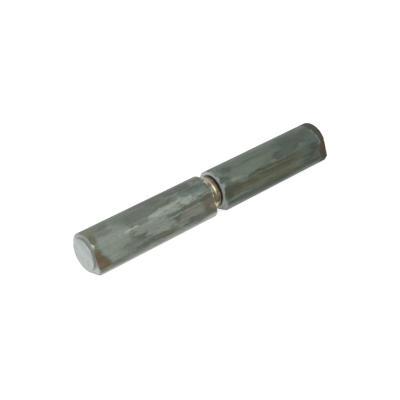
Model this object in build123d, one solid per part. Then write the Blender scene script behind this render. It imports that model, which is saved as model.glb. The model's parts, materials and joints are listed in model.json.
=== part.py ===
from build123d import *
from math import acos, cos, hypot, radians, sin, tan
import os

# Weld-on barrel hinge, millimetres, +Z up.
#
# Two equal lengths of hot-drawn drop-section bar turn about one axis, along X. A steel pin is pressed
# into the lower half and runs in the upper half, which lifts off it, and a brass washer carries the
# upper half. The hinge lies on one weld flat of each half, with the nose of the drop towards -Y and
# down. The origin is under the middle of the hinge, on the surface it lies on.

# Drop section
barrel_diameter = 14.0        # round back of the section
flat_depth = 0.3              # how far each weld flat lies inside the round
nose_angle = 90.0             # between the two weld flats
nose_land_width = 2.4         # blunt edge along the nose
nose_corner_radius = 0.4      # rolled corners beside the nose land
ridge_radius = 1.0            # soft edge where a flat runs into the round

# Halves
overall_length = 100.0        # over both outer faces
boss_diameter = 11.2          # turned disc that stands out of each outer end
boss_height = 0.8
boss_chamfer = 0.15
shoulder_angle = 5.0          # slope of the shoulder around the boss, from square to the axis
seat_margin = 0.35            # flat ring that the inner end keeps outside the washer
seat_bevel_angle = 6.0        # slope outside that ring, from square to the axis

# Pin and its bores
pin_diameter = 8.0
pin_press_depth = 22.0        # length held in the lower half
pin_reach = 26.0              # length that enters the upper half
pin_chamfer = 0.8
pin_end_room = 1.5            # straight bore beyond each end of the pin
running_clearance = 0.05      # on the radius, upper half on pin
bore_chamfer = 0.4            # countersink at a bore's mouth
drill_point_angle = 118.0     # conical bottom of a blind bore

# Washer
washer_thickness = 3.5
washer_rim = 1.5              # bore to outside
washer_clearance = 0.08       # on the radius, washer on pin
washer_outer_round = 0.5
washer_bore_chamfer = 0.2
end_float = 0.5               # slack between the washer and the upper half as the hinge lies

# Worked out from the above
barrel_radius = barrel_diameter / 2
flat_distance = barrel_radius - flat_depth
half_nose_angle = radians(nose_angle / 2)
nose_distance = (flat_distance - nose_land_width / 2 * cos(half_nose_angle)) / sin(half_nose_angle)
swing_radius = hypot(nose_distance, nose_land_width / 2)
boss_radius = boss_diameter / 2
pin_radius = pin_diameter / 2
washer_bore_radius = pin_radius + washer_clearance
washer_radius = washer_bore_radius + washer_rim
seat_radius = washer_radius + seat_margin
face_gap = washer_thickness + end_float
seat_x = face_gap / 2
end_x = overall_length / 2


def drop_section():
    """Drop outline about the hinge axis, in (Y, Z), turned so that one weld flat faces straight down."""
    ridge_angle = radians(90) - half_nose_angle + acos(flat_distance / barrel_radius)
    ridge_y = barrel_radius * sin(ridge_angle)
    ridge_z = -barrel_radius * cos(ridge_angle)
    land_y = nose_land_width / 2
    with BuildSketch() as section:
        with BuildLine():
            ThreePointArc((-ridge_y, ridge_z), (0, barrel_radius), (ridge_y, ridge_z))
            Polyline((ridge_y, ridge_z), (land_y, -nose_distance), (-land_y, -nose_distance),
                     (-ridge_y, ridge_z))
        make_face()
        nose_corners = section.vertices().sort_by(Axis.Y)[:2]
        fillet(nose_corners, nose_corner_radius)
        ridges = section.vertices().sort_by(Axis.Y)[-2:]
        fillet(ridges, ridge_radius)
    return Rot(Z=nose_angle / 2 - 90) * section.sketch


# The axis stands one flat's distance above the surface, and is set so that the middle of the section's
# width comes over the origin.
section_outline = drop_section()
section_width = section_outline.bounding_box()
axis_y = -(section_width.min.X + section_width.max.X) / 2
axis_z = flat_distance
onto_axis = Pos(0, axis_y, axis_z)


def drawn_bar(start_x, length):
    """Bar of drop section, from start_x along +X."""
    section_plane = Plane(origin=(start_x, axis_y, axis_z), x_dir=(0, 1, 0), z_dir=(1, 0, 0))
    return extrude(section_plane * section_outline, amount=length)


def revolved(points):
    """Solid of revolution about the hinge axis, from (x, radius) points."""
    profile = make_face(Polyline(*points, close=True))
    return onto_axis * revolve(profile, Axis.X)


def turned_ends(side):
    """What the lathe leaves of one half: a boss on a shoulder outside, the washer's seat inside.

    The sloping shoulder and the slope around the seat run out over the nose of the drop.
    """
    clear_radius = 1.2 * swing_radius
    shoulder_x = end_x - boss_height
    shoulder_rim_x = shoulder_x - (clear_radius - boss_radius) * tan(radians(shoulder_angle))
    seat_rim_x = seat_x + (clear_radius - seat_radius) * tan(radians(seat_bevel_angle))
    return revolved([
        (side * end_x, 0),
        (side * end_x, boss_radius - boss_chamfer),
        (side * (end_x - boss_chamfer), boss_radius),
        (side * shoulder_x, boss_radius),
        (side * shoulder_rim_x, clear_radius),
        (side * seat_rim_x, clear_radius),
        (side * seat_x, seat_radius),
        (side * seat_x, 0),
    ])


def blind_bore(side, radius, depth):
    """Drilled bore from the inner face, with a countersunk mouth and the drill's conical bottom."""
    point_depth = radius / tan(radians(drill_point_angle / 2))
    return revolved([
        (side * seat_x, 0),
        (side * seat_x, radius + bore_chamfer),
        (side * (seat_x + bore_chamfer), radius),
        (side * (seat_x + depth), radius),
        (side * (seat_x + depth + point_depth), 0),
    ])


def hinge_half(side, bore_radius, bore_depth):
    """One half of the hinge, from its outer end at side * end_x to its seat at side * seat_x."""
    bar_length = end_x - seat_x
    bar = drawn_bar(min(side * end_x, side * seat_x), bar_length)
    return (bar & turned_ends(side)) - blind_bore(side, bore_radius, bore_depth)


def hinge_pin():
    """Straight steel pin with a lead at each end."""
    start_x = -seat_x - pin_press_depth
    stop_x = seat_x + pin_reach
    return revolved([
        (start_x, 0),
        (start_x, pin_radius - pin_chamfer),
        (start_x + pin_chamfer, pin_radius),
        (stop_x - pin_chamfer, pin_radius),
        (stop_x, pin_radius - pin_chamfer),
        (stop_x, 0),
    ])


def brass_washer():
    """Washer on the lower half's seat, with a rounded outside and a broken edge in the bore."""
    middle_x = -seat_x + washer_thickness / 2
    middle_radius = washer_bore_radius + washer_rim / 2
    with BuildSketch() as profile:
        with Locations((middle_x, middle_radius)):
            Rectangle(washer_thickness, washer_rim)
        outer_corners = profile.vertices().sort_by(Axis.Y)[-2:]
        fillet(outer_corners, washer_outer_round)
        bore_corners = profile.vertices().sort_by(Axis.Y)[:2]
        chamfer(bore_corners, washer_bore_chamfer)
    return onto_axis * revolve(profile.sketch, Axis.X)


parts = {
    "lower_barrel": hinge_half(-1, pin_radius, pin_press_depth + pin_end_room),
    "upper_barrel": hinge_half(1, pin_radius + running_clearance, pin_reach + pin_end_room),
    "hinge_pin": hinge_pin(),
    "brass_washer": brass_washer(),
}

os.makedirs("parts", exist_ok=True)
for name, solid in parts.items():
    export_step(solid, f"parts/{name}.step")
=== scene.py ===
import json
import math

import bpy
from bpy.props import FloatProperty, FloatVectorProperty, PointerProperty
from mathutils import Matrix, Vector, noise


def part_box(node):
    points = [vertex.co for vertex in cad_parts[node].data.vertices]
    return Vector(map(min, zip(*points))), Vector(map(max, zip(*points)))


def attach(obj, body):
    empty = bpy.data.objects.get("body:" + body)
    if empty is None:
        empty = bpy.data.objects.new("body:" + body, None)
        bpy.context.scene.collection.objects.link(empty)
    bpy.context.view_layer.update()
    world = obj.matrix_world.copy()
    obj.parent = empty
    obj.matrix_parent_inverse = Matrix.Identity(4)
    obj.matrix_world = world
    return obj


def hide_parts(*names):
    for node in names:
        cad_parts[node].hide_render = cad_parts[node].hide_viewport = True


bl_info = {
    "name": "Weld-on barrel hinge",
    "version": (1, 0, 0),
    "blender": (4, 5, 0),
    "location": "View3D > Sidebar > Hinge",
    "description": "Makes the two drawn halves, the pin and the brass washer of a weld-on hinge, and a stage",
    "category": "Object",
}

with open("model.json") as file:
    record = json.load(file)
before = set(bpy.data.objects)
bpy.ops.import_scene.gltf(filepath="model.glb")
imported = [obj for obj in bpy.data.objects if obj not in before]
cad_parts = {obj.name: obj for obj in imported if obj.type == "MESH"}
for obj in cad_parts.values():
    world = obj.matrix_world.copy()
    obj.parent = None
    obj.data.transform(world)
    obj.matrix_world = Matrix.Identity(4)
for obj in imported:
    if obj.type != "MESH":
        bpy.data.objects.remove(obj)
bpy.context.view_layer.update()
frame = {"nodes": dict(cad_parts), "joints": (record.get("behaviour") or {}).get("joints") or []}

MM = 0.001
AXIS = Vector(frame["joints"][0]["pos_m"])
LOWER_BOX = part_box("lower_barrel")
UPPER_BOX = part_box("upper_barrel")
PIN_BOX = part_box("hinge_pin")
WASHER_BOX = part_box("brass_washer")
PIN_RADIUS = (PIN_BOX[1].z - PIN_BOX[0].z) / 2
WASHER_RADIUS = (WASHER_BOX[1].z - WASHER_BOX[0].z) / 2
BARREL_RADIUS = UPPER_BOX[1].z - AXIS.z
FLAT_DISTANCE = AXIS.z - LOWER_BOX[0].z


def tone(red, green, blue):
    """A colour given as it looks on a screen, from 0 to 255, in the linear values that Blender mixes."""
    def linear(value):
        value /= 255
        return value / 12.92 if value <= 0.04045 else ((value + 0.055) / 1.055) ** 2.4
    return linear(red), linear(green), linear(blue)


def number(name, description, default, **settings):
    return FloatProperty(name=name, description=description, default=default, **settings)


def length(name, description, default):
    return number(name, description, default, unit="LENGTH", precision=5)


def angle(name, description, degrees):
    return number(name, description, math.radians(degrees), subtype="ANGLE")


def colour(name, description, red, green, blue):
    return FloatVectorProperty(name=name, description=description, default=tone(red, green, blue),
                               size=3, min=0, max=1, subtype="COLOR")


class HingeSizes(bpy.types.PropertyGroup):
    """Sizes that shape the visible pieces of the hinge."""

    nose_angle: angle("Nose angle", "Angle between the two weld flats", 90)
    nose_land: length("Nose land", "Width of the blunt edge along the nose", 0.0024)
    nose_corner: length("Nose corner", "Rolled corner beside the nose land", 0.0004)
    ridge: length("Ridge", "Soft edge where a flat runs into the round", 0.001)
    boss_radius: length("Boss radius", "Turned disc that stands out of each outer end", 0.0056)
    boss_height: length("Boss height", "How far the disc stands out of the shoulder", 0.0008)
    boss_edge: length("Boss edge", "Broken edge of the disc", 0.00015)
    shoulder_slope: angle("Shoulder slope", "Slope of the shoulder around the boss", 5)
    seat_margin: length("Seat margin", "Flat ring outside the washer", 0.00035)
    seat_slope: angle("Seat slope", "Slope outside that ring", 6)
    bore_edge: length("Bore edge", "Countersink at the mouth of a bore", 0.0004)
    bore_room: length("Bore room", "Straight bore beyond the end of the pin", 0.0015)
    running_clearance: length("Running clearance", "Upper half on pin, on the radius", 0.00005)
    drill_point: angle("Drill point", "Full angle of the drill's point", 118)
    shoulder_edge: length("Shoulder edge", "Worn edge between the bar and the shoulder", 0.0004)
    seat_edge: length("Seat edge", "Worn edge between the bar and the seat", 0.00026)
    unevenness: length("Unevenness", "Depth of the rolled surface's hollows", 0.00004)
    pin_lead: length("Pin lead", "Chamfer at each end of the pin", 0.0008)
    washer_rim: length("Washer rim", "Bore to outside of the washer", 0.0015)
    washer_round: length("Washer round", "Rounded outer corners of the washer", 0.0003)
    washer_edge: length("Washer edge", "Broken edge in the washer's bore", 0.0002)
    washer_crown: length("Washer crown", "How much the washer's outside swells in the middle", 0.0002)


class HingeFinishes(bpy.types.PropertyGroup):
    """Colours of the steel, the brass and what has grown on them, with some painted light and shade."""

    lower_scale: colour("Lower scale", "Mill scale of the lower half", 112, 118, 108)
    lower_thin: colour("Lower thin scale", "Thin scale of the lower half", 132, 140, 130)
    lower_rubbed: colour("Lower rubbed scale", "Scale rubbed almost to the steel", 152, 162, 150)
    lower_thick: colour("Lower thick scale", "Thick scale of the lower half", 80, 83, 74)
    # Partly wear, partly a painted reflection of the white floor on the nose land.
    lower_nose: colour("Lower nose", "Nose land of the lower half, worn thin", 194, 194, 190)
    # Painted highlight on the ridge by the outer end.
    lower_glint: colour("Lower glint", "Bare steel on the ridge by the outer end", 196, 200, 178)
    lower_edge: colour("Lower edge", "Worn inner edge of the lower half", 212, 194, 182)
    lower_dusty: colour("Lower dust", "Dusty patch of the lower half", 128, 128, 117)
    lower_olive: colour("Lower olive", "Olive bloom on the lower half", 114, 115, 86)
    lower_brown: colour("Lower brown", "Brown stain on the lower half", 104, 96, 78)
    lower_cool: colour("Lower cool scale", "Blue-green scale of the lower half", 88, 104, 99)
    upper_scale: colour("Upper scale", "Mill scale of the upper half", 79, 89, 78)
    upper_thin: colour("Upper thin scale", "Thin scale of the upper half", 99, 109, 98)
    upper_rubbed: colour("Upper rubbed scale", "Scale rubbed almost to the steel", 136, 138, 118)
    upper_thick: colour("Upper thick scale", "Thick scale of the upper half", 54, 60, 52)
    # Partly wear, partly a painted reflection of the white floor on the nose land.
    upper_nose: colour("Upper nose", "Nose land of the upper half, worn thin", 134, 138, 134)
    upper_edge: colour("Upper edge", "Worn inner edge of the upper half", 150, 156, 154)
    # Painted highlight along the border of the end band.
    upper_rim_highlight: colour("Upper rim", "Pale border of the end band", 130, 128, 125)
    upper_dusty: colour("Upper dust", "Dusty patch of the upper half", 82, 82, 64)
    upper_olive: colour("Upper olive", "Olive bloom on the upper half", 84, 84, 58)
    upper_brown: colour("Upper brown", "Brown stain on the upper half", 66, 60, 42)
    upper_cool: colour("Upper cool scale", "Blue-green scale of the upper half", 66, 78, 72)
    rust: colour("Rust", "Brown rust by the ends", 118, 94, 70)
    red_rust: colour("Red rust", "Fresh spots in the rust", 150, 86, 68)
    old_rust: colour("Old rust", "Olive brown rust", 100, 84, 60)
    dark_rust: colour("Dark rust", "Old rust by the outer end of the upper half", 76, 50, 38)
    dark_olive: colour("Dark olive", "Old bloom by the outer end of the upper half", 64, 66, 40)
    end_steel: colour("End steel", "Bare turned steel of the outer ends", 181, 187, 183)
    # Steel darker towards the upper front of an end.
    darker_upper_end_steel: colour("Oily steel", "Darker film over the upper part of an end", 148, 156, 150)
    shoulder_steel: colour("Shoulder steel", "Duller steel of the shoulders", 156, 160, 156)
    # Colour of the pits on the boss and of the painted shade in the corner around it.
    boss_shade_and_pits: colour("Corner dirt", "Dirt in the corner around the boss", 130, 136, 134)
    lower_seat_steel: colour("Lower seat steel", "Turned steel of the lower seat", 190, 186, 178)
    # Painted light: the upper seat's steel, brighter than the washer's shade would leave it.
    upper_seat_painted_bright: colour("Upper seat steel", "Turned steel of the upper seat", 212, 218, 220)
    # Painted shadow in the gap beside the washer.
    painted_gap_shadow: colour("Grease", "Old grease beside the washer", 34, 35, 36)
    drilled_steel: colour("Drilled steel", "Oily bore", 96, 94, 90)
    pin_steel: colour("Pin steel", "Ground pin", 160, 162, 163)
    brass: colour("Brass", "Turned brass of the washer", 118, 110, 76)
    brass_dull: colour("Dull brass", "Grey film on the brass", 112, 106, 84)
    # Painted highlight along the washer's crown.
    brass_crown_highlight: colour("Rubbed brass", "Brass rubbed bright along the crown", 196, 188, 166)
    # Painted light: the washer's edge by the upper half, and a painted reflection of the white floor low in
    # front.
    brass_painted_light: colour("Brass edge", "Pale rubbed edge by the upper half and low in front", 240, 226, 188)
    brass_brown: colour("Brown brass", "Brown stain on the brass", 150, 116, 84)
    brass_dust: colour("Dusty brass", "Pale dust on the brass", 170, 156, 138)
    # Tarnish, also laid on either side of the crown as painted shade.
    tarnish_and_shade: colour("Tarnish", "Brown tarnish on the brass", 88, 82, 62)


class HingeStage(bpy.types.PropertyGroup):
    """Floor, lamps and camera."""

    floor: colour("Floor", "Colour of the floor", 246, 246, 246)
    floor_white: number("Floor white", "How white the floor looks by itself", 0.78)
    floor_shadow: number("Floor shadow", "How much of the shadow is seen", 0.6)
    key_power: number("Key lamp", "Soft lamp in front", 1.52, unit="POWER")
    top_power: number("Top lamp", "Soft lamp overhead", 0.6, unit="POWER")
    side_power: number("Side lamp", "Soft lamp beside the lower half", 1.4, unit="POWER")
    sky: number("Sky", "Light from all round", 0.4, min=0)
    lens: number("Lens", "Focal length in millimetres", 85.7, min=1)
    camera_distance: length("Camera distance", "From the middle of the hinge", 0.31905)
    camera_turn: angle("Camera turn", "Towards the lower half's end", 32.03)
    camera_height: angle("Camera height", "Above the floor", 18.957)
    camera_roll: angle("Camera roll", "Lean of the camera", 15.162)
    aim: FloatVectorProperty(name="Aim", description="Point looked at, from the middle of the hinge axis",
                             default=(-0.002862, 0.001180, -0.001507), size=3, subtype="TRANSLATION",
                             unit="LENGTH")


# Shapes

MILL, TURNED, SEAT, BORE = range(4)

# Steps of half the drop section: the nose land, the corner beside it, the flat, the ridge and the round.
LAND_STEPS, CORNER_STEPS, FLAT_STEPS, RIDGE_STEPS, ROUND_STEPS = 8, 6, 44, 6, 92
SEAT_EDGE_STEPS, SHOULDER_EDGE_STEPS = 4, 6
# Where rings lie, as shares of the way out over the seat, of the way in over the shoulder, and of half the
# washer's width from the middle of its crown.
SEAT_SHARES = (0, 0.1, 0.25, 0.4, 0.55, 0.7, 0.85, 0.96)
SHOULDER_SHARES = (0.04, 0.15, 0.3, 0.45, 0.6, 0.75, 0.9)
CROWN_SHARES = (-0.6, -0.45, -0.3, -0.15, 0, 0.15, 0.3, 0.45, 0.6)
# Between rings along the bar, from an arc to its support points, from a worn edge to the bar's nearest ring,
# from one turned face to the next, and between the ends of a closed profile.
RING_SPACING, SUPPORT, EDGE_GAP, FACE_GAP, SEAM_GAP = 0.26 * MM, 0.04 * MM, 0.05 * MM, 0.1 * MM, 0.02 * MM
# Radii of the rings nearest to a pole, and of those across the boss.
DRILL_TIP, POLE_RING = 0.02 * MM, 0.05 * MM
BOSS_RINGS = (4 * MM, 2 * MM, POLE_RING)
# By how much of itself an edge's wear varies.
EDGE_WEAR = 0.45


def unit(turn):
    return math.cos(turn), math.sin(turn)


def flat_lean(sizes):
    """The turn from the nose to the outward side of a weld flat."""
    return (math.pi - sizes.nose_angle) / 2


def evenly(start, stop, steps):
    """Numbers from start to stop in even steps, both included."""
    return [start + (stop - start) * step / steps for step in range(steps + 1)]


def arc(centre, radius, turns):
    """Points of an arc, each with the turn of its outward normal."""
    points = []
    for turn in turns:
        ahead, aside = unit(turn)
        points.append(((centre[0] + radius * ahead, centre[1] + radius * aside), turn))
    return points


def quarter(step, steps):
    """How far a step through a quarter turn has risen and run."""
    turn = math.pi / 2 / steps * step
    return math.sin(turn), 1 - math.cos(turn)


def drop_outline(sizes):
    """Once around the drop section about the hinge axis, as ((y, z), outward normal) pairs.

    It starts in the middle of the nose land and goes by the front flat, the back and the bottom flat.
    """
    lean = flat_lean(sizes)
    flat = unit(lean)
    along_flat = (-flat[1], flat[0])
    corner_depth = FLAT_DISTANCE - sizes.nose_corner
    nose_distance = (FLAT_DISTANCE - sizes.nose_land / 2 * flat[1]) / flat[0]
    corner_ahead = nose_distance - sizes.nose_corner
    corner = (corner_ahead, (corner_depth - corner_ahead * flat[0]) / flat[1])
    ridge_depth = FLAT_DISTANCE - sizes.ridge
    ridge_reach = math.sqrt((BARREL_RADIUS - sizes.ridge) ** 2 - ridge_depth ** 2)
    ridge = tuple(ridge_depth * f + ridge_reach * a for f, a in zip(flat, along_flat))
    ridge_turn = lean + math.atan2(ridge_reach, ridge_depth)

    land = [((nose_distance, rise), 0.0) for rise in evenly(0, corner[1], LAND_STEPS)[:-1]]
    corner_arc = arc(corner, sizes.nose_corner, evenly(0, lean, CORNER_STEPS))
    ridge_arc = arc(ridge, sizes.ridge, evenly(lean, ridge_turn, RIDGE_STEPS))
    ends = zip(corner_arc[-1][0], ridge_arc[0][0])
    on_flat = zip(*(evenly(start, stop, FLAT_STEPS)[1:-1] for start, stop in ends))
    half = land + corner_arc + [(spot, lean) for spot in on_flat] + ridge_arc
    half += arc((0, 0), BARREL_RADIUS, evenly(ridge_turn, math.pi, ROUND_STEPS)[1:])
    other = [((a, -b), -turn) for (a, b), turn in reversed(half[1:-1])]

    nose = Vector((-math.sin(lean), -math.cos(lean)))
    side = Vector((-math.cos(lean), math.sin(lean)))

    def laid(ahead, aside):
        return nose * ahead + side * aside
    return [(laid(*spot), laid(*unit(turn))) for spot, turn in half + other]


def hollow(along, spot, depth):
    """How far the rolled surface lies inside the true section, with its draw lines, flakes and pits."""
    here = Vector((along, spot.x, spot.y)) / MM
    # What is added to a place keeps one pattern apart from the next.
    roll = 0.5 + 0.5 * noise.noise(here * 0.16)
    draw = 0.5 + 0.5 * noise.noise(Vector((here.x * 0.03 + 7, here.y * 1.3, here.z * 1.3)))
    flake = 0.5 + 0.5 * noise.noise(here * 0.7 + Vector((31, 5, 2)))
    pit = max(0.0, noise.noise(here * 1.7 + Vector((3, 17, 9))) - 0.42)
    return depth * (0.45 * roll + 0.25 * draw + 0.3 * flake * flake + 1.2 * pit)


class Skin:
    """Rings of points skinned into one closed mesh, from a pole at one end to a pole at the other."""

    def __init__(self, side):
        self.side = side
        self.points, self.rings, self.finishes = [], [], []

    def ring(self, points, finish):
        """Adds a ring of (x, y, z) points, x outwards from the middle, and the finish up to the next."""
        self.rings.append(range(len(self.points), len(self.points) + len(points)))
        self.points += [(self.side * x, y + AXIS.y, z + AXIS.z) for x, y, z in points]
        self.finishes.append(finish)

    def turned(self, profile, directions, finish):
        """Adds a ring for each (x, radius) of a turned profile."""
        for x, radius in profile:
            self.ring([(x, radius * d.x, radius * d.y) for d in directions], finish)

    def mesh(self, name, closed=False):
        """The finished mesh, with its last ring joined to its first if closed, and else with two poles."""
        faces, slots = [], []
        count = len(self.rings[0])
        pairs = list(zip(self.rings, self.rings[1:], self.finishes))
        if closed:
            pairs.append((self.rings[-1], self.rings[0], self.finishes[-1]))
        for near, far, finish in pairs:
            for step in range(count):
                after = (step + 1) % count
                faces.append((near[step], far[step], far[after], near[after]))
                slots.append(finish)
        if not closed:
            for ring, finish, first in ((self.rings[0], self.finishes[0], True),
                                        (self.rings[-1], self.finishes[-1], False)):
                pole = len(self.points)
                middle = sum((Vector(self.points[i]) for i in ring), Vector()) / count
                self.points.append((middle.x, AXIS.y, AXIS.z))
                for step in range(count):
                    here, after = ring[step], ring[(step + 1) % count]
                    faces.append((pole, here, after) if first else (here, pole, after))
                    slots.append(finish)
        if self.side > 0:
            faces = [tuple(reversed(face)) for face in faces]
        made = bpy.data.meshes.new(name)
        made.from_pydata(self.points, [], faces)
        made.polygons.foreach_set("material_index", slots)
        made.polygons.foreach_set("use_smooth", [True] * len(faces))
        made.validate()
        made.update()
        return made


def rounded(corners, steps=5):
    """A profile of (x, radius) points through corners of (x, radius, round).

    Each corner is rounded with a small arc between two support points, and stays sharp where its round is 0.
    """
    profile = [corners[0][:2]]
    for before, here, after in zip(corners, corners[1:], corners[2:]):
        spot = Vector(here[:2])
        back = (Vector(before[:2]) - spot).normalized()
        ahead = (Vector(after[:2]) - spot).normalized()
        if here[2] == 0:
            profile.append(tuple(spot))
            continue
        opening = back.angle(ahead) / 2
        reach = here[2] / math.tan(opening)
        centre = spot + (back + ahead).normalized() * here[2] / math.sin(opening)
        start, stop = spot + back * reach, spot + ahead * reach
        profile.append(tuple(start + back * SUPPORT))
        for step in range(steps + 1):
            swing = (start - centre).lerp(stop - centre, step / steps).normalized() * here[2]
            profile.append(tuple(centre + swing))
        profile.append(tuple(stop + ahead * SUPPORT))
    profile.append(corners[-1][:2])
    return profile


def half_mesh(name, sizes, side, box, bore_radius, bore_stop):
    """One half as a closed skin: its bore, its seat, the rolled bar, the shoulder and the boss."""
    end_x = max(abs(box[0].x), abs(box[1].x))
    seat_x = min(abs(box[0].x), abs(box[1].x))
    seat_radius = WASHER_RADIUS + sizes.seat_margin
    shoulder_x = end_x - sizes.boss_height
    outline = drop_outline(sizes)
    outward = [spot.normalized() for spot, normal in outline]
    skin = Skin(side)

    tip_x = bore_stop + bore_radius / math.tan(sizes.drill_point / 2)
    bore = rounded([
        (tip_x, DRILL_TIP, 0),
        (bore_stop, bore_radius, 0.1 * MM),
        (seat_x + sizes.bore_edge, bore_radius, 0.08 * MM),
        (seat_x, bore_radius + sizes.bore_edge, 0.06 * MM),
        (seat_x, seat_radius - FACE_GAP, 0),
    ], steps=3)
    # The seat begins at the last point of the last arc, before its support point and the rim.
    seat_start = len(bore) - 3
    skin.turned(bore[:seat_start], outward, BORE)
    skin.turned(bore[seat_start:], outward, SEAT)

    def seat_at(spot):
        return seat_x + (spot.length - seat_radius) * math.tan(sizes.seat_slope)

    def shoulder_at(spot):
        return shoulder_x - (spot.length - sizes.boss_radius) * math.tan(sizes.shoulder_slope)

    # Each edge of the bar is worn a little more here and less there. A rim has the edge's radius and its x.
    seat_inset, seat_rim, shoulder_inset, shoulder_rim = [], [], [], []
    for spot, normal in outline:
        worn = 1 + EDGE_WEAR * noise.noise(Vector((spot.x, spot.y, side * seat_x)) / MM * 0.9)
        for edge, at, inset, rim in ((sizes.seat_edge * worn, seat_at, seat_inset, seat_rim),
                                     (sizes.shoulder_edge * worn, shoulder_at, shoulder_inset, shoulder_rim)):
            inset.append(spot - normal * edge)
            rim.append((edge, at(inset[-1])))

    def cone(start, stop, share, at):
        spots = [near.lerp(far, share) for near, far in zip(start, stop)]
        return [(at(spot), spot.x, spot.y) for spot in spots]

    def sunk(x, spot, normal, inset=0.0):
        spot = spot - normal * (inset + hollow(side * x, spot, sizes.unevenness))
        return x, spot.x, spot.y

    seat_circle = [direction * seat_radius for direction in outward]
    for share in SEAT_SHARES:
        skin.ring(cone(seat_circle, seat_inset, share, seat_at), SEAT)
    for step in range(SEAT_EDGE_STEPS + 1):
        rise, run = quarter(step, SEAT_EDGE_STEPS)
        skin.ring([sunk(start + edge * run, spot, normal, edge * (1 - rise))
                   for (spot, normal), (edge, start) in zip(outline, seat_rim)], MILL)
    stations = round((end_x - seat_x) / RING_SPACING)
    for station in range(stations + 1):
        share = station / stations
        points = []
        for (spot, normal), (seat_edge, start), (end_edge, stop) in zip(outline, seat_rim, shoulder_rim):
            start, stop = start + seat_edge + EDGE_GAP, stop - end_edge - EDGE_GAP
            points.append(sunk(start + share * (stop - start), spot, normal))
        skin.ring(points, MILL)
    for step in range(SHOULDER_EDGE_STEPS, -1, -1):
        rise, run = quarter(step, SHOULDER_EDGE_STEPS)
        skin.ring([sunk(stop - edge * run, spot, normal, edge * (1 - rise))
                   for (spot, normal), (edge, stop) in zip(outline, shoulder_rim)], MILL if step else TURNED)
    boss_circle = [direction * (sizes.boss_radius + FACE_GAP) for direction in outward]
    for share in SHOULDER_SHARES:
        skin.ring(cone(shoulder_inset, boss_circle, share, shoulder_at), TURNED)
    boss = rounded([
        (shoulder_x - FACE_GAP * math.tan(sizes.shoulder_slope), sizes.boss_radius + FACE_GAP, 0),
        (shoulder_x, sizes.boss_radius, 0.05 * MM),
        (end_x - sizes.boss_edge, sizes.boss_radius, 0.08 * MM),
        (end_x, sizes.boss_radius - sizes.boss_edge, 0.1 * MM),
        *((end_x, radius, 0) for radius in BOSS_RINGS),
    ], steps=4)
    skin.turned(boss, outward, TURNED)
    return skin.mesh(name)


def lathe_mesh(name, profile, closed=False, steps=160):
    """A turned piece from its (x, radius) profile."""
    skin = Skin(1)
    directions = [Vector(unit(2 * math.pi * step / steps)) for step in range(steps)]
    skin.turned(profile, directions, 0)
    return skin.mesh(name, closed)


def place_piece(name, mesh, materials, body, node):
    """Puts a piece where its CAD node is, on the given body, hides that node and gives the node the piece's
    first material.
    """
    for material in materials:
        mesh.materials.append(material)
    piece = bpy.data.objects.new(name, mesh)
    bpy.context.scene.collection.objects.link(piece)
    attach(piece, body)
    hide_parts(node)
    cad_node = frame["nodes"][node]
    cad_node.data.materials.clear()
    cad_node.data.materials.append(materials[0])


# Finishes

# The colour sockets of a mix node.
MIX_UNDER, MIX_OVER, MIX_RESULT = 6, 7, 2


class Nodes:
    """Adds nodes to the emptied tree of a material or a world, and links them."""

    def __init__(self, owner):
        owner.use_nodes = True
        self.tree = owner.node_tree
        self.tree.nodes.clear()

    def feed(self, node, socket, value):
        """Links a socket, or sets a plain value."""
        if isinstance(value, bpy.types.NodeSocket):
            self.tree.links.new(value, node.inputs[socket])
        else:
            node.inputs[socket].default_value = value

    def add(self, kind, inputs=(), **settings):
        node = self.tree.nodes.new(kind)
        for name, value in settings.items():
            setattr(node, name, value)
        for socket, value in dict(inputs).items():
            self.feed(node, socket, value)
        return node

    def math(self, operation, first, second=0.0, third=0.0):
        return self.add("ShaderNodeMath", {0: first, 1: second, 2: third}, operation=operation).outputs[0]

    def scaled(self, value, factor, shift):
        return self.math("MULTIPLY_ADD", value, factor, shift)

    def product(self, *factors):
        total = factors[0]
        for factor in factors[1:]:
            total = self.math("MULTIPLY", total, factor)
        return total

    def mix(self, amount, under, over):
        def paint(value):
            return value if isinstance(value, bpy.types.NodeSocket) else (*value, 1.0)
        return self.add("ShaderNodeMix", {0: amount, MIX_UNDER: paint(under), MIX_OVER: paint(over)},
                        data_type="RGBA").outputs[MIX_RESULT]

    def seen(self):
        """1 for what the camera, a reflection or a clear material sees directly."""
        rays = self.add("ShaderNodeLightPath").outputs
        total = rays["Is Camera Ray"]
        for kind in ("Is Glossy Ray", "Is Transmission Ray"):
            total = self.math("MAXIMUM", total, rays[kind])
        return total


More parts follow.
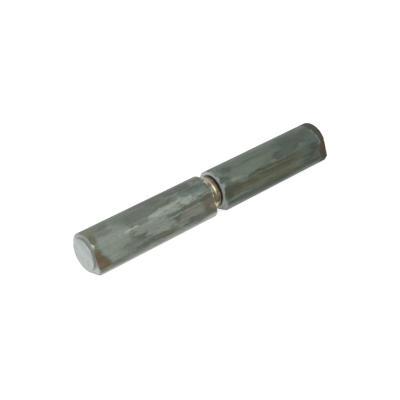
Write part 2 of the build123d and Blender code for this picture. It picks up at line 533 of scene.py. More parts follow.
class Finish(Nodes):
    """A material around one Principled shader, with its places in millimetres from the hinge's axis."""

    def __init__(self, name):
        self.material = bpy.data.materials.new(name)
        super().__init__(self.material)
        self.shader = self.add("ShaderNodeBsdfPrincipled")
        self.add("ShaderNodeOutputMaterial", {"Surface": self.shader.outputs["BSDF"]})
        from_origin = self.add("ShaderNodeTexCoord").outputs["Object"]
        from_axis = self.vector("SUBTRACT", from_origin, AXIS)
        self.place = self.vector("MULTIPLY", from_axis, (1 / MM,) * 3)
        self.along, self.across, self.up = self.add("ShaderNodeSeparateXYZ", {0: self.place}).outputs[:3]

    def on_bar(self, sizes):
        """Finds the angle around the bar in degrees, from 0 on the nose, positive by the front flat."""
        nose_y, nose_z = -math.sin(flat_lean(sizes)), -math.cos(flat_lean(sizes))
        ahead = self.scaled(self.up, nose_z, self.math("MULTIPLY", self.across, nose_y))
        aside = self.scaled(self.up, -nose_y, self.math("MULTIPLY", self.across, nose_z))
        self.around = self.math("DEGREES", self.math("ARCTAN2", aside, ahead))

    def wander(self, place, scale, shift, turn):
        """Bends the places of the marks by millimetres and degrees, so that their borders wander."""
        bend = self.add("ShaderNodeTexNoise", {"Vector": place, "Scale": scale,
                                               "Detail": 5.0, "Roughness": 0.6}).outputs["Color"]
        bend = self.add("ShaderNodeSeparateColor", {0: bend}).outputs
        self.mark_along = self.scaled(self.math("SUBTRACT", bend[0], 0.5), shift, self.along)
        self.mark_around = self.scaled(self.math("SUBTRACT", bend[1], 0.5), turn, self.around)

    def vector(self, operation, first, second):
        return self.add("ShaderNodeVectorMath", {0: first, 1: second}, operation=operation).outputs["Vector"]

    def stretched(self, place, along, other=1.0):
        """Scales the places: a pattern then runs along the axis, or around it where along is the larger."""
        return self.vector("MULTIPLY", place, (along, other, other))

    def noise(self, place, scale, detail=3.0, roughness=0.5, distortion=0.0):
        return self.add("ShaderNodeTexNoise", {"Vector": place, "Scale": scale, "Detail": detail,
                                               "Roughness": roughness, "Distortion": distortion}).outputs[0]

    def between(self, value, low, high):
        """0 up to low and 1 from high, with a soft step between; low may be the larger."""
        return self.add("ShaderNodeMapRange", {"Value": value, "From Min": low, "From Max": high},
                        interpolation_type="SMOOTHSTEP").outputs["Result"]

    def within(self, value, low, from_low, from_high, high):
        """0 outside low and high and 1 between the middle two, with a soft step on each side."""
        return self.product(self.between(value, low, from_low), self.between(value, high, from_high))

    def lay(self, under, over, amount, *masks):
        """Lays a colour over another where all the masks are 1, as thick as the amount says."""
        return self.mix(self.product(*masks, amount), under, over)

    def shade(self, amount, under):
        """Multiplies a colour by an amount around one."""
        return self.add("ShaderNodeVectorMath", {0: under, 3: amount}, operation="SCALE").outputs["Vector"]

    def vary(self, under, pattern, swing):
        """Darkens a colour where a pattern is low and brightens it where the pattern is high."""
        return self.shade(self.scaled(pattern, swing, 1 - swing / 2), under)

    def deepen(self, under, power, middle):
        """Raises the contrast of a colour around a middle shade."""
        deep = self.add("ShaderNodeGamma", {0: under, 1: power}).outputs[0]
        return self.shade(middle ** (1 - power), deep)

    def stain(self, under, over, mark, ragged):
        """Lays a colour over another in a ragged blot or streak."""
        right = self.math("SUBTRACT", self.mark_along, mark.along)
        rise = self.math("SUBTRACT", self.mark_around, mark.around)
        rise = self.math("MULTIPLY", rise, math.radians(BARREL_RADIUS / MM))
        run, climb = unit(math.radians(mark.tilt))
        length = self.math("MULTIPLY", right, run / mark.length)
        length = self.scaled(rise, climb / mark.length, length)
        width = self.math("MULTIPLY", right, -climb / mark.width)
        width = self.scaled(rise, run / mark.width, width)
        far = self.math("ADD", self.math("POWER", self.math("ABSOLUTE", length), 3.0),
                        self.math("POWER", self.math("ABSOLUTE", width), 3.0))
        far = self.scaled(self.math("SUBTRACT", ragged, 0.5), mark.rag * 5, far)
        return self.lay(under, over, mark.amount, self.between(far, 1 + mark.soft, 1 - mark.soft))

    def bump(self, height, strength, distance, under=None):
        inputs = {"Height": height, "Strength": strength, "Distance": distance}
        if under is not None:
            inputs["Normal"] = under
        return self.add("ShaderNodeBump", inputs).outputs["Normal"]

    def finish(self, base, roughness, normal, metallic):
        self.feed(self.shader, "Base Color", base)
        self.feed(self.shader, "Roughness", roughness)
        self.feed(self.shader, "Normal", normal)
        self.shader.inputs["Metallic"].default_value = metallic
        return self.material


class Mark:
    """A blot or streak on a bar.

    It has the name of its colour, its place, its half length and half width in millimetres, how strong it is,
    how soft its border is and how ragged, and its tilt in degrees.
    """

    def __init__(self, look, along, around, length, width, amount, soft=0.6, rag=0.3, tilt=0):
        self.look, self.along, self.around = look, along, around
        self.length, self.width, self.amount = length, width, amount
        self.soft, self.rag, self.tilt = soft, rag, tilt


# Places are in millimetres along the axis from the hinge's middle, and in degrees around it from the nose.
LOWER_MARKS = (
    # Thin pale scale towards the outer end, in streaks along the front flat, and over the top
    Mark("thin", -41, 72, 6.0, 3.9, 0.85, 0.5),
    Mark("thin", -24.5, 58, 9.5, 1.7, 0.85, 0.3),
    Mark("thin", -24.5, 39, 6.0, 0.9, 0.85, 0.4),
    Mark("thin", -9.5, 62, 4.0, 0.7, 0.6, 0.5),
    Mark("thin", -42, 34, 4.2, 2.2, 0.45, 0.5),
    Mark("thin", -24, 142, 26, 1.6, 0.55),
    # Thick scale on the round, cut off sharply by the ridge, with an olive bloom in it
    Mark("scale", -27, 100, 10, 2.3, 0.7, 0.5),
    Mark("thick", -26.5, 99, 9.3, 1.9, 0.2, 0.08, 0.12, tilt=-1),
    Mark("olive", -20, 103, 2.6, 0.9, 0.7),
    Mark("thick", -13, 119, 5.5, 1.2, 0.65, 0.5),
    Mark("thick", -19, 132, 13, 1.2, 0.6),
    Mark("thick", -43, 93, 2.6, 0.8, 0.4),
    Mark("thick", -43.5, 114, 2.6, 1.1, 0.45),
    Mark("thick", -23, 114, 3.4, 0.8, 0.45),
    Mark("thick", -4.2, 121, 2.2, 0.9, 0.65),
    # Rubbed streak along the ridge, broad and bright at its inner end
    Mark("rubbed", -21, 80, 6.5, 0.8, 0.7, 0.5, tilt=3),
    Mark("rubbed", -34.3, 71, 2.4, 0.5, 0.7),
    Mark("rubbed", -12.2, 82, 2.4, 1.9, 0.6, 0.4, tilt=30),
    # Darker streaks along the middle of the front flat and low on it
    Mark("thick", -26.5, 19, 7.5, 0.85, 0.7, 0.5),
    Mark("thick", -32, 47, 3.2, 0.35, 0.4, tilt=-4),
    Mark("brown", -21, 19, 3.5, 0.7, 0.6),
    # Dirty streak along the flat to the washer, the stain that it ends in, and what lies below them
    Mark("thick", -13.5, 58, 8.5, 0.65, 0.7, 0.4, tilt=2),
    Mark("dusty", -12.6, 37, 4.6, 1.5, 0.7, 0.3),
    Mark("brown", -17, 40, 1.9, 0.4, 0.6, 0.5, tilt=60),
    Mark("brown", -4.4, 38, 3.0, 2.8, 0.75, 0.5),
    Mark("spot", -5.6, 36, 0.9, 0.35, 0.55),
    Mark("spot", -4.3, 27, 0.5, 0.4, 0.55),
    Mark("thick", -5.4, 57, 2.6, 0.8, 0.75, 0.5),
    Mark("thick", -5.0, 31, 1.6, 0.5, 0.7, tilt=15),
    Mark("dusty", -3.4, 27, 0.8, 0.9, 0.5, tilt=30),
    Mark("thick", -9.5, 17, 7.0, 0.5, 0.5),
    Mark("thin", -15, 24, 2.2, 0.7, 0.45),
    # Blue-green scale above the ridge by the washer
    Mark("cool", -8.8, 95, 4.6, 1.3, 0.75, 0.5),
    Mark("thick", -7.8, 100, 1.8, 0.5, 0.45),
    Mark("dusty", -6, 111, 1.9, 0.6, 0.6),
    # Chipped inner edge
    Mark("edge", -2.5, 96, 0.35, 0.9, 0.8),
    Mark("thick", -3.1, 88, 0.4, 1.2, 0.8),
    Mark("brown", -3.0, 110, 0.7, 1.0, 0.6),
    # Olive bloom by the outer end, and a painted highlight on the ridge below it
    Mark("olive", -47.5, 99, 1.6, 3.1, 0.7, 0.2, tilt=-8),
    Mark("thick", -47.7, 92, 1.0, 1.8, 0.45),
    Mark("olive", -46.4, 112, 0.8, 0.6, 0.6),
    Mark("glint", -48.8, 73, 0.5, 0.9, 0.85),
    # Under the bar and behind it
    Mark("thin", -34, -50, 9, 2.0, 0.6, 0.5),
    Mark("thick", -15, -38, 8, 1.3, 0.55, 0.5, tilt=2),
    Mark("brown", -43, -60, 4, 1.6, 0.6, tilt=20),
    Mark("rubbed", -22, -78, 14, 0.5, 0.5, 0.5),
    Mark("thick", -30, -110, 11, 1.6, 0.5, 0.3, tilt=-3),
    Mark("cool", -10, -125, 6, 1.8, 0.6, 0.5),
    Mark("thin", -38, -150, 8, 2.2, 0.6, 0.5),
    Mark("olive", -17, -158, 4, 1.1, 0.7),
    Mark("thick", -25, 165, 12, 0.7, 0.6, 0.5),
)

UPPER_MARKS = (
    # Even scale over the round, thinner by the washer and rubbed along the ridge
    Mark("scale", 24, 112, 22, 4.4, 0.6),
    Mark("rubbed", 8.6, 68, 2.6, 0.5, 0.45, tilt=-6),
    Mark("thin", 13.5, 67, 5.5, 0.5, 0.6),
    Mark("thin", 13, 84, 10, 1.6, 0.6, 0.5),
    Mark("thin", 3.3, 112, 1.4, 2.6, 0.85, 0.5),
    # Dark beside the nose and brown along the flat
    Mark("thick", 24, 8, 22, 1.1, 0.45),
    Mark("brown", 22, 40, 15, 1.2, 0.5),
    # Worn edge by the washer, and thin scale over the top
    Mark("edge", 2.5, 62, 0.5, 0.9, 0.5),
    Mark("thin", 20, 136, 17, 1.3, 0.6),
    # Dark smudges by the washer
    Mark("cool", 7.6, 105, 1.2, 1.6, 0.9, tilt=60),
    Mark("cool", 4.2, 81, 1.8, 0.8, 1.0, tilt=-10),
    Mark("brown", 6, 41, 4.2, 1.9, 0.7, 0.5),
    Mark("dark_olive", 4.4, 34, 1.7, 1.4, 0.75, 0.5),
    # Draw streaks along the front flat, brown over a dusty olive ground, and dark scale on the ridge
    Mark("dusty", 24, 40, 14, 3.0, 0.55),
    Mark("brown", 24, 58, 12, 0.26, 0.85),
    Mark("brown", 30, 53, 7, 0.2, 0.7),
    Mark("thin", 20, 52, 6, 0.25, 0.5),
    Mark("brown", 12.5, 43, 4, 0.4, 0.5, tilt=-6),
    Mark("brown", 22, 47, 5, 0.4, 0.6, tilt=-6),
    Mark("thick", 31, 43, 4.5, 0.45, 0.55, tilt=-2),
    Mark("thick", 31.5, 74, 6.0, 1.3, 0.85, 0.5),
    Mark("olive", 27, 18, 7, 0.8, 0.75, 0.5),
    Mark("dusty", 13, 30, 3, 0.9, 0.4),
    Mark("olive", 36.5, 65, 3.2, 0.5, 0.6, tilt=-3),
    # Colder and darker towards the outer end
    Mark("cool", 45, 78, 5.5, 5.0, 0.55, 0.5),
    Mark("cool", 33, 92, 4.2, 2.6, 0.65, 0.5, tilt=60),
    Mark("thick", 36, 108, 8, 2.4, 0.25),
    Mark("thick", 44, 48, 2.6, 1.1, 0.75, tilt=-20),
    Mark("dusty", 45.4, 28, 1.4, 1.6, 0.8, tilt=20),
    Mark("thick", 43, 14, 5, 0.4, 0.6),
    # Under the bar and behind it
    Mark("dusty", 22, -42, 12, 2.4, 0.6),
    Mark("brown", 17, -55, 11, 0.35, 0.7, tilt=2),
    Mark("olive", 36, -35, 5, 1.2, 0.7, 0.5),
    Mark("thin", 12, -72, 8, 0.6, 0.6, 0.5),
    Mark("cool", 30, -105, 8, 2.0, 0.6, 0.5),
    Mark("thick", 10, -118, 4, 1.4, 0.6, tilt=30),
    Mark("thin", 24, -150, 12, 1.2, 0.4),
    Mark("thick", 40, -160, 5, 1.5, 0.5, 0.5),
    Mark("olive", 18, 160, 5, 1.0, 0.6),
)


def bar_looks(finishes, half, **others):
    """The colours of one half's bar, by the names that its marks use."""
    names = ("scale", "thin", "rubbed", "thick", "nose", "edge", "dusty", "olive", "brown", "cool")
    looks = {name: getattr(finishes, half + "_" + name) for name in names}
    return {**looks, "rim": finishes.shoulder_steel, **others}


def mill_scale(name, sizes, looks, marks, seat_x, end_x, seed, calm):
    """Scale of the drawn bar: thick and thin patches, draw lines and marks, paler along the nose, where it is
    worn thin and painted with a reflection of the floor.

    The draw lines are faint where calm gives 1.
    """
    mill = Finish(name)
    mill.on_bar(sizes)
    offset = mill.vector("ADD", mill.place, (seed, seed * 0.7, seed * 0.3))
    patches = mill.noise(mill.stretched(offset, 0.4), 0.15, 5.0, 0.55, 0.5)
    lines = mill.noise(mill.stretched(offset, 0.07), 1.5, 4.0, 0.6)
    grain = mill.noise(offset, 3.5, 4.0, 0.65)
    hairlines = mill.noise(mill.stretched(offset, 0.2), 4.0, 3.0, 0.6)
    ragged = mill.noise(mill.stretched(offset, 0.5), 0.55, 5.0, 0.6, 0.4)
    mill.wander(mill.stretched(offset, 0.6), 0.45, shift=4.5, turn=18)
    base = mill.mix(mill.between(patches, 0.5, 0.6), looks["scale"], looks["thin"])
    base = mill.mix(mill.between(patches, 0.46, 0.3), base, looks["thick"])
    few = mill.scaled(calm(mill), -0.6, 1)
    dark_lines = mill.product(mill.between(lines, 0.54, 0.66), few)
    pale_lines = mill.product(mill.between(lines, 0.44, 0.32), few)
    base = mill.lay(base, looks["thick"], 0.75, dark_lines)
    base = mill.lay(base, looks["thin"], 0.6, pale_lines)
    for mark in marks:
        base = mill.stain(base, looks[mark.look], mark, ragged)
    base = mill.lay(base, looks["thick"], 0.35, dark_lines)
    base = mill.lay(base, looks["thin"], 0.3, pale_lines)
    base = mill.deepen(base, 1.22, sum(looks["scale"]) / 3)
    base = mill.vary(base, hairlines, 0.76)

    off_nose = mill.math("ABSOLUTE", mill.around)
    base = mill.lay(base, looks["thick"], 0.45, mill.within(off_nose, 10, 12.5, 14, 18))
    # Paler along the nose land: scale worn thin, and a painted reflection of the white floor below it.
    from_middle = mill.math("ABSOLUTE", mill.along)
    from_seat = mill.math("SUBTRACT", from_middle, abs(seat_x) / MM)
    worn = mill.math("ADD", mill.around, mill.scaled(ragged, 7, -3.5))
    worn = mill.scaled(mill.between(from_seat, 12, 1), -8, worn)
    worn = mill.product(mill.between(worn, 9, -6), mill.between(off_nose, 12, 9))
    base = mill.mix(worn, base, looks["nose"])
    chips = mill.scaled(ragged, -1.9, mill.math("ADD", from_seat, 0.95))
    base = mill.lay(base, looks["edge"], 0.95, mill.between(chips, 0.42, 0.2))
    from_shoulder = mill.math("SUBTRACT", (abs(end_x) - sizes.boss_height) / MM, from_middle)
    chips = mill.scaled(ragged, -0.9, mill.math("ADD", from_shoulder, 0.45))
    base = mill.lay(base, looks["rim"], 0.9, mill.between(chips, 0.5, 0.25))
    base = mill.vary(base, grain, 0.5)

    rough = mill.scaled(grain, 0.12, mill.scaled(patches, -0.2, 0.62))
    normal = mill.bump(lines, 0.3, 0.04 * MM)
    normal = mill.bump(patches, 0.4, 0.06 * MM, normal)
    normal = mill.bump(grain, 0.4, 0.025 * MM, normal)
    return mill, base, ragged, rough, normal


def speckled(mill, stain):
    """A stain with fine specks in it."""
    return mill.vary(stain, mill.noise(mill.place, 2.2, 4.0, 0.7), 0.5)


def lower_scale(sizes, finishes):
    """The lower half's bar: paler, with a wedge of rust by its outer end."""
    looks = bar_looks(finishes, "lower", spot=finishes.old_rust, glint=finishes.lower_glint)
    mill, base, ragged, rough, normal = mill_scale(
        "lower_mill_scale", sizes, looks, LOWER_MARKS, LOWER_BOX[1].x, LOWER_BOX[0].x,
        seed=11.0, calm=lambda bar: bar.between(bar.along, -28, -35))
    base = mill.lay(base, finishes.lower_cool, 0.2, mill.between(mill.around, 80, 83))
    # The wedge is widest by the nose and dies out on the ridge.
    torn = mill.scaled(ragged, 3.6, -1.8)
    limit = mill.scaled(mill.math("SUBTRACT", 72, mill.around), 0.075, 1.3)
    limit = mill.math("MINIMUM", limit, 4.9)
    from_end = mill.math("ADD", mill.along, abs(LOWER_BOX[0].x) / MM)
    inside = mill.math("ADD", mill.math("SUBTRACT", limit, from_end), torn)
    on_flat = mill.within(mill.around, 10, 14, 62, 76)
    base = mill.lay(base, finishes.lower_thick, 0.5, mill.between(inside, -0.9, -0.1), on_flat)
    rust = mill.product(mill.between(inside, -0.4, 0.5), on_flat)
    blotch = mill.noise(mill.vector("ADD", mill.place, (5, 0, 0)), 0.55, 5.0, 0.65)
    rusty = mill.mix(mill.between(blotch, 0.42, 0.62), finishes.old_rust, finishes.rust)
    rusty = mill.lay(rusty, finishes.red_rust, 0.8, mill.between(blotch, 0.6, 0.7))
    rusty = mill.mix(mill.between(mill.around, 50, 64), rusty, finishes.lower_olive)
    base = mill.lay(base, speckled(mill, rusty), 0.88, rust)
    return mill.finish(base, mill.scaled(rust, 0.15, rough), normal, metallic=0.2)


def upper_scale(sizes, finishes):
    """The upper half's bar: darker, with a rusty olive band by its outer end."""
    looks = bar_looks(finishes, "upper", dark_olive=finishes.dark_olive)
    mill, base, ragged, rough, normal = mill_scale(
        "upper_mill_scale", sizes, looks, UPPER_MARKS, UPPER_BOX[0].x, UPPER_BOX[1].x,
        seed=43.0, calm=lambda bar: bar.between(bar.around, 55, 72))
    # Painted light and shade: the round a little lighter, the flat a little darker.
    base = mill.shade(mill.scaled(mill.between(mill.around, 50, 72), 0.13, 0.95), base)
    # The band is widest by the nose, narrow on the ridge and wider again over the round.
    torn = mill.scaled(ragged, 4.4, -2.2)
    off_ridge = mill.math("ABSOLUTE", mill.math("SUBTRACT", mill.around, 58))
    limit = mill.math("MINIMUM", mill.scaled(off_ridge, 0.04, 2.9), 4.2)
    from_end = mill.math("SUBTRACT", abs(UPPER_BOX[1].x) / MM, mill.along)
    inside = mill.math("ADD", mill.math("SUBTRACT", limit, from_end), torn)
    # A painted highlight along the band's border over the round, with dust in its place on the flat.
    here_and_there = mill.between(mill.noise(mill.place, 0.3, 3.0), 0.38, 0.56)
    rim = mill.product(mill.within(inside, -1.0, -0.35, -0.15, 0.15), here_and_there,
                       mill.between(mill.around, 106, 94))
    rim_highlight_and_dust = mill.mix(mill.between(mill.around, 62, 40), finishes.upper_rim_highlight, finishes.upper_dusty)
    base = mill.lay(base, rim_highlight_and_dust, 0.7, rim)
    blotch = mill.noise(mill.place, 0.5, 5.0, 0.65)
    rusty = mill.scaled(blotch, 2.4, mill.math("SUBTRACT", inside, 1.2))
    brown = mill.mix(mill.between(rusty, 0.8, 1.8), finishes.upper_brown, finishes.dark_rust)
    green = mill.mix(mill.between(blotch, 0.45, 0.58), finishes.dark_olive, finishes.upper_thick)
    stain = mill.mix(mill.between(mill.around, 60, 72), brown, green)
    stain = mill.mix(mill.between(mill.around, 108, 116), stain, finishes.upper_thick)
    stain = mill.mix(mill.between(mill.around, 20, 12), stain, finishes.upper_thick)
    band = mill.between(inside, -0.15, 0.2)
    base = mill.mix(band, base, speckled(mill, stain))
    return mill.finish(base, mill.scaled(band, 0.12, rough), normal, metallic=0.2)


def turned_face(name, steel, finishes, marks):
    """Bare steel with fine lathe rings and a few stains."""
    turned = Finish(name)
    flat_place = turned.stretched(turned.place, 0.0)
    radius = turned.add("ShaderNodeVectorMath", {0: flat_place}, operation="LENGTH").outputs["Value"]
    rings = turned.math("SINE", turned.math("MULTIPLY", radius, marks))
    cloud = turned.noise(turned.place, 0.45, 4.0, 0.55)
    wiped = turned.noise(turned.vector("MULTIPLY", turned.place, (1.0, 1.0, 0.22)), 1.1, 3.0, 0.55)
    speck = turned.noise(turned.place, 3.5, 3.0, 0.6)
    base = turned.mix(turned.between(cloud, 0.35, 0.65), turned.shade(0.84, steel), steel)
    base = turned.vary(base, wiped, 0.44)
    stain = turned.between(turned.noise(turned.place, 0.8, 4.0, 0.6, 0.5), 0.62, 0.76)
    base = turned.lay(base, finishes.rust, 0.35, stain)
    base = turned.vary(base, speck, 0.16)
    normal = turned.bump(rings, 0.25, 0.01 * MM)
    normal = turned.bump(speck, 0.3, 0.01 * MM, normal)
    return turned, base, radius, cloud, turned.scaled(cloud, 0.2, 0.32), normal


def turned_end(sizes, finishes):
    """The boss and shoulder of an outer end: duller over its upper front, rusty by the front flat."""
    turned, base, radius, cloud, rough, normal = turned_face("turned_end", finishes.end_steel, finishes, 40.0)
    turned.on_bar(sizes)
    boss = sizes.boss_radius / MM
    # Darker towards the upper front of each end, with the shoulders duller there.
    toward_upper_front = turned.scaled(cloud, 4, turned.math("SUBTRACT", turned.up, turned.across))
    base = turned.lay(base, finishes.darker_upper_end_steel, 0.55, turned.between(toward_upper_front, 3, 10))
    shoulder = turned.between(radius, boss + 0.05, boss + 0.2)
    base = turned.lay(base, finishes.shoulder_steel, 0.85, turned.between(toward_upper_front, 0, 6), shoulder)
    off_stain = turned.math("ABSOLUTE", turned.math("SUBTRACT", turned.around, 30))
    creep = turned.between(turned.scaled(cloud, 60, off_stain), 52, 44)
    base = turned.lay(base, finishes.rust, 0.4, creep, turned.between(radius, boss + 0.5, boss + 1.0))
    pits = turned.between(turned.noise(turned.place, 1.3, 3.0, 0.6), 0.62, 0.7)
    base = turned.lay(base, finishes.boss_shade_and_pits, 0.6, pits, turned.between(radius, boss - 1.4, boss - 0.4))
    # Painted shade in the corner around the root of the boss.
    beside = turned.math("ABSOLUTE", turned.math("SUBTRACT", radius, boss + 0.1))
    beside = turned.scaled(cloud, 0.5, turned.math("SUBTRACT", beside, 0.25))
    base = turned.lay(base, finishes.boss_shade_and_pits, 0.45, turned.between(beside, 0.4, 0.05),
                      turned.between(radius, boss - 0.05, boss + 0.05), turned.between(toward_upper_front, 1, 6))
    return turned.finish(base, rough, normal, metallic=0.7)


def turned_seat(name, steel, dull, finishes):
    """The seat on the washer: a painted black shadow beside the washer, turned steel outside it, painted
    bright on the upper half against the washer's shade, and dull further out.
    """
    turned, base, radius, cloud, rough, normal = turned_face(name, steel, finishes, 30.0)
    washer = WASHER_RADIUS / MM
    mottle = turned.noise(turned.place, 0.9, 5.0, 0.7)
    outside = turned.scaled(mottle, 1.4, turned.math("SUBTRACT", radius, washer + 1.4))
    spots = turned.mix(turned.between(mottle, 0.52, 0.7), dull, turned.shade(0.7, dull))
    base = turned.lay(base, spots, 0.6, turned.between(outside, 0.0, 0.5))
    # A painted black shadow beside the washer, a little wider up the front.
    up_front = turned.math("SUBTRACT", turned.up, turned.across)
    spread = turned.math("MULTIPLY", turned.between(up_front, 2, 7), 0.25)
    edge = turned.scaled(cloud, 0.4, turned.math("SUBTRACT", radius, washer + 0.18))
    painted_gap_shadow = turned.between(turned.math("SUBTRACT", edge, spread), 0.15, 0.0)
    base = turned.lay(base, finishes.painted_gap_shadow, 0.85, painted_gap_shadow)
    return turned.finish(base, rough, normal, metallic=0.2)


def drilled_bore(finishes):
    """Oily inside of the drilled bores, with drill marks around."""
    bore = Finish("drilled_bore")
    marks = bore.noise(bore.stretched(bore.place, 6.0, 0.4), 1.0, 3.0)
    oil = bore.noise(bore.place, 0.5, 3.0)
    steel = finishes.drilled_steel
    base = bore.mix(bore.between(oil, 0.35, 0.65), steel, bore.shade(0.6, steel))
    normal = bore.bump(marks, 0.5, 0.03 * MM)
    return bore.finish(base, bore.scaled(oil, 0.2, 0.25), normal, metallic=0.8)


def ground_pin(finishes):
    """Ground steel pin: fine grinding lines around it, a film of oil and a few brown rings."""
    pin = Finish("ground_pin")
    lines = pin.noise(pin.stretched(pin.place, 9.0, 0.5), 1.2, 3.0)
    bands = pin.noise(pin.stretched(pin.place, 0.8, 0.1), 0.6, 4.0, 0.6)
    film = pin.noise(pin.stretched(pin.place, 0.35), 0.35, 4.0, 0.55)
    base = pin.mix(pin.between(film, 0.35, 0.7), finishes.pin_steel, pin.shade(0.92, finishes.pin_steel))
    base = pin.lay(base, finishes.rust, 0.45, pin.between(bands, 0.56, 0.68), pin.between(film, 0.4, 0.6))
    base = pin.vary(base, lines, 0.16)
    normal = pin.bump(lines, 0.35, 0.01 * MM)
    return pin.finish(base, pin.scaled(film, 0.08, 0.24), normal, metallic=1.0)


def turned_brass(sizes, finishes):
    """Turned brass gone dull, with a painted highlight along its crown, painted shade beside it, painted
    light at its edge by the upper half and low in front, and brown towards its edges.
    """
    brass = Finish("turned_brass")
    brass.on_bar(sizes)
    rings = brass.noise(brass.stretched(brass.place, 7.0, 0.4), 1.3, 3.0)
    cloud = brass.noise(brass.stretched(brass.place, 1.6), 0.3, 3.0, 0.55)
    blotch = brass.noise(brass.stretched(brass.place, 1.2), 0.9, 4.0, 0.65)
    streaks = brass.noise(brass.stretched(brass.place, 2.2, 0.5), 1.4, 4.0, 0.7)
    base = brass.mix(brass.between(cloud, 0.4, 0.7), finishes.brass, finishes.brass_dull)
    middle = (WASHER_BOX[0].x + WASHER_BOX[1].x) / 2 / MM
    off_crown = brass.math("SUBTRACT", brass.along, middle)
    wavy = brass.math("ADD", off_crown, brass.scaled(cloud, 1.0, -0.5))
    # Tarnish and painted shade left of the crown.
    base = brass.lay(base, finishes.tarnish_and_shade, 0.85, brass.between(wavy, -0.25, -0.95))
    # Beside the upper half, the edge is painted light, less so up the front, where tarnish and painted shade
    # darken the brass right of the crown.
    up_front = brass.within(brass.around, 44, 56, 92, 102)
    pale = brass.product(brass.between(wavy, 0.8, 1.6), brass.scaled(up_front, -0.7, 0.9))
    base = brass.mix(pale, base, finishes.brass_painted_light)
    base = brass.lay(base, finishes.tarnish_and_shade, 0.55, brass.between(off_crown, 0.35, 0.7), up_front)
    # A painted highlight along the crown, from the front upwards.
    crown = brass.between(brass.math("ABSOLUTE", wavy), 0.4, 0.1)
    base = brass.lay(base, finishes.brass_crown_highlight, 0.9, crown, brass.between(brass.around, 44, 58))
    # Tarnish and painted shade low in front, below the crown's highlight.
    base = brass.lay(base, finishes.tarnish_and_shade, 0.6, brass.within(brass.around, -20, 5, 36, 50))
    # A painted reflection of the white floor, low in front.
    base = brass.lay(base, finishes.brass_painted_light, 0.95, brass.within(brass.around, -30, -10, 8, 22))
    # Over the top, brown towards the upper half, and pale and dusty towards the lower one.
    on_top = brass.between(brass.scaled(blotch, 30, brass.around), 100, 122)
    aside = brass.math("ADD", off_crown, blotch)
    base = brass.lay(base, finishes.brass_brown, 0.7, on_top, brass.between(aside, 1.3, 2.0))
    base = brass.lay(base, finishes.brass_dust, 0.75, on_top, brass.between(aside, 1.5, 0.9))
    base = brass.lay(base, finishes.brass_brown, 0.5, brass.between(streaks, 0.56, 0.7))
    base = brass.vary(base, rings, 0.2)
    normal = brass.bump(rings, 0.3, 0.01 * MM)
    return brass.finish(base, brass.scaled(cloud, 0.2, 0.16), normal, metallic=0.6)


# Operators

class HINGE_OT_halves(bpy.types.Operator):
    """Make the lower and upper halves of drawn bar, with their turned ends and drilled bores"""
    bl_idname = "hinge.halves"
    bl_label = "Two halves"

    def execute(self, context):
        sizes, finishes = context.scene.hinge_sizes, context.scene.hinge_finishes
        end_face = turned_end(sizes, finishes)
        lower_seat = turned_seat("turned_lower_seat", finishes.lower_seat_steel,
                                 finishes.lower_thin, finishes)
        # The upper seat is painted bright against the shade of the washer.
        upper_seat = turned_seat("turned_upper_seat", finishes.upper_seat_painted_bright,
                                 finishes.upper_edge, finishes)
        bore = drilled_bore(finishes)
        lower = half_mesh("lower_barrel_bar", sizes, -1, LOWER_BOX, PIN_RADIUS,
                          abs(PIN_BOX[0].x) + sizes.bore_room)
        place_piece("lower_barrel_drawn", lower, [lower_scale(sizes, finishes), end_face, lower_seat, bore],
                    "lower_half", "lower_barrel")
        upper = half_mesh("upper_barrel_bar", sizes, 1, UPPER_BOX, PIN_RADIUS + sizes.running_clearance,
                          abs(PIN_BOX[1].x) + sizes.bore_room)
        place_piece("upper_barrel_drawn", upper, [upper_scale(sizes, finishes), end_face, upper_seat, bore],
                    "upper_half", "upper_barrel")
        return {"FINISHED"}


class HINGE_OT_pin(bpy.types.Operator):
    """Make the ground steel pin with its leads"""
    bl_idname = "hinge.pin"
    bl_label = "Pin"

    def execute(self, context):
        sizes, finishes = context.scene.hinge_sizes, context.scene.hinge_finishes
        start, stop = PIN_BOX[0].x, PIN_BOX[1].x
        face_radius = PIN_RADIUS - sizes.pin_lead
        face_round, lead_round = 0.2 * MM, 0.3 * MM
        profile = rounded([
            (start, POLE_RING, 0),
            (start, face_radius, face_round),
            (start + sizes.pin_lead, PIN_RADIUS, lead_round),
            (stop - sizes.pin_lead, PIN_RADIUS, lead_round),
            (stop, face_radius, face_round),
            (stop, POLE_RING, 0),
        ])
        pin = lathe_mesh("hinge_pin_turning", profile)
        place_piece("hinge_pin_ground", pin, [ground_pin(finishes)],
                    "lower_half", "hinge_pin")
        return {"FINISHED"}


class HINGE_OT_washer(bpy.types.Operator):
    """Make the brass washer between the halves"""
    bl_idname = "hinge.washer"
    bl_label = "Washer"

    def execute(self, context):
        sizes, finishes = context.scene.hinge_sizes, context.scene.hinge_finishes
        near, far = WASHER_BOX[0].x, WASHER_BOX[1].x
        middle = (near + far) / 2
        inside = WASHER_RADIUS - sizes.washer_rim
        corner = WASHER_RADIUS - sizes.washer_crown
        edge_round = 0.04 * MM
        crown = [(middle + (far - near) / 2 * share, WASHER_RADIUS - sizes.washer_crown * share ** 2, 0)
                 for share in CROWN_SHARES]
        profile = rounded([
            (middle, inside, 0),
            (near + sizes.washer_edge, inside, edge_round),
            (near, inside + sizes.washer_edge, edge_round),
            (near, corner, sizes.washer_round),
            *crown,
            (far, corner, sizes.washer_round),
            (far, inside + sizes.washer_edge, edge_round),
            (far - sizes.washer_edge, inside, edge_round),
            (middle + SEAM_GAP, inside, 0),
        ])
        washer = lathe_mesh("brass_washer_turning", profile, closed=True, steps=200)
        place_piece("brass_washer_turned", washer, [turned_brass(sizes, finishes)],
                    "washer", "brass_washer")
        return {"FINISHED"}


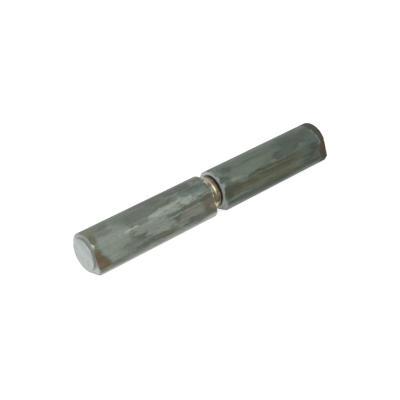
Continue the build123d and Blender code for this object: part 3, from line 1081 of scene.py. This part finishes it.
# Half the floor's side, and each lamp's side and place from the middle of the hinge's axis, in metres.
FLOOR_REACH = 6
LAMPS = {
    "key": (0.5, (0.30, -0.55, 0.34)),
    "top": (0.6, (0.05, 0.15, 0.70)),
    "side": (0.4, (-0.65, -0.10, 0.25)),
}


def soft_lamp(name, power, size, spot, target):
    """A large square lamp at a spot, facing a target."""
    lamp = bpy.data.lights.new(name, "AREA")
    lamp.energy = power
    lamp.size = size
    holder = bpy.data.objects.new(name, lamp)
    holder.location = spot
    holder.rotation_mode = "QUATERNION"
    holder.rotation_quaternion = (target - spot).to_track_quat("-Z", "Y")
    bpy.context.scene.collection.objects.link(holder)


def white_floor(stage):
    """A wide pale floor that looks white by itself and still takes the hinge's shadow."""
    mesh = bpy.data.meshes.new("floor")
    mesh.from_pydata([(x * FLOOR_REACH, y * FLOOR_REACH, 0) for x, y in ((-1, -1), (1, -1), (1, 1), (-1, 1))],
                     [], [(0, 1, 2, 3)])
    floor = bpy.data.objects.new("floor", mesh)
    bpy.context.scene.collection.objects.link(floor)
    paint = bpy.data.materials.new("floor_paint")
    nodes = Nodes(paint)
    seen = nodes.seen()
    shadowed = [channel * stage.floor_shadow for channel in stage.floor]
    matt = nodes.add("ShaderNodeBsdfDiffuse", {"Color": nodes.mix(seen, stage.floor, shadowed)})
    glow = nodes.add("ShaderNodeEmission", {"Strength": nodes.math("MULTIPLY", seen, stage.floor_white)})
    both = nodes.add("ShaderNodeAddShader", {0: matt.outputs[0], 1: glow.outputs[0]})
    nodes.add("ShaderNodeOutputMaterial", {"Surface": both.outputs[0]})
    mesh.materials.append(paint)


def white_room(stage):
    """White all round, at the sky's level for the light and plain white where it is seen."""
    world = bpy.data.worlds.new("white_room")
    nodes = Nodes(world)
    level = nodes.add("ShaderNodeMapRange", {"Value": nodes.seen(), "To Min": stage.sky, "To Max": 1.0})
    sky = nodes.add("ShaderNodeBackground", {"Color": (1, 1, 1, 1), "Strength": level.outputs["Result"]})
    nodes.add("ShaderNodeOutputWorld", {"Surface": sky.outputs[0]})
    bpy.context.scene.world = world


def aimed_camera(stage, middle):
    """The camera on its way back from the hinge, aimed beside its middle and leaning."""
    back = Vector((-math.sin(stage.camera_turn) * math.cos(stage.camera_height),
                   -math.cos(stage.camera_turn) * math.cos(stage.camera_height),
                   math.sin(stage.camera_height)))
    lens = bpy.data.cameras.new("camera")
    lens.lens = stage.lens
    lens.sensor_width = 36
    lens.clip_start, lens.clip_end = 0.01, 50
    camera = bpy.data.objects.new("camera", lens)
    turn = (-back).to_track_quat("-Z", "Y").to_matrix() @ Matrix.Rotation(-stage.camera_roll, 3, "Z")
    camera.rotation_mode = "QUATERNION"
    camera.rotation_quaternion = turn.to_quaternion()
    camera.location = middle + Vector(stage.aim) + back * stage.camera_distance
    bpy.context.scene.collection.objects.link(camera)
    return camera


class HINGE_OT_stage(bpy.types.Operator):
    """Make the pale floor, the white surroundings, three soft lamps and the camera"""
    bl_idname = "hinge.stage"
    bl_label = "Stage"

    def execute(self, context):
        stage = context.scene.hinge_stage
        middle = Vector((0, AXIS.y, AXIS.z))
        white_floor(stage)
        white_room(stage)
        for lamp, (size, place) in LAMPS.items():
            soft_lamp(lamp + "_lamp", getattr(stage, lamp + "_power"), size, middle + Vector(place), middle)
        context.scene.camera = aimed_camera(stage, middle)
        context.scene.view_settings.view_transform = "Standard"
        return {"FINISHED"}


class HINGE_PT_make(bpy.types.Panel):
    """Make the hinge piece by piece"""
    bl_idname = "HINGE_PT_make"
    bl_label = "Weld-on hinge"
    bl_space_type = "VIEW_3D"
    bl_region_type = "UI"
    bl_category = "Hinge"

    def draw(self, context):
        layout = self.layout
        for operator in OPERATORS:
            layout.operator(operator.bl_idname)
        for group in (context.scene.hinge_sizes, context.scene.hinge_finishes, context.scene.hinge_stage):
            box = layout.box()
            for name in group.__annotations__:
                box.prop(group, name)


GROUPS = (HingeSizes, HingeFinishes, HingeStage)
OPERATORS = (HINGE_OT_halves, HINGE_OT_pin, HINGE_OT_washer, HINGE_OT_stage)


def register():
    for made in (*GROUPS, *OPERATORS, HINGE_PT_make):
        bpy.utils.register_class(made)
    bpy.types.Scene.hinge_sizes = PointerProperty(type=HingeSizes)
    bpy.types.Scene.hinge_finishes = PointerProperty(type=HingeFinishes)
    bpy.types.Scene.hinge_stage = PointerProperty(type=HingeStage)


def unregister():
    del bpy.types.Scene.hinge_stage
    del bpy.types.Scene.hinge_finishes
    del bpy.types.Scene.hinge_sizes
    for made in reversed((*GROUPS, *OPERATORS, HINGE_PT_make)):
        bpy.utils.unregister_class(made)


def main():
    """Makes every piece and the stage."""
    register()
    bpy.ops.hinge.halves()
    bpy.ops.hinge.pin()
    bpy.ops.hinge.washer()
    bpy.ops.hinge.stage()


if __name__ == "__main__":
    main()
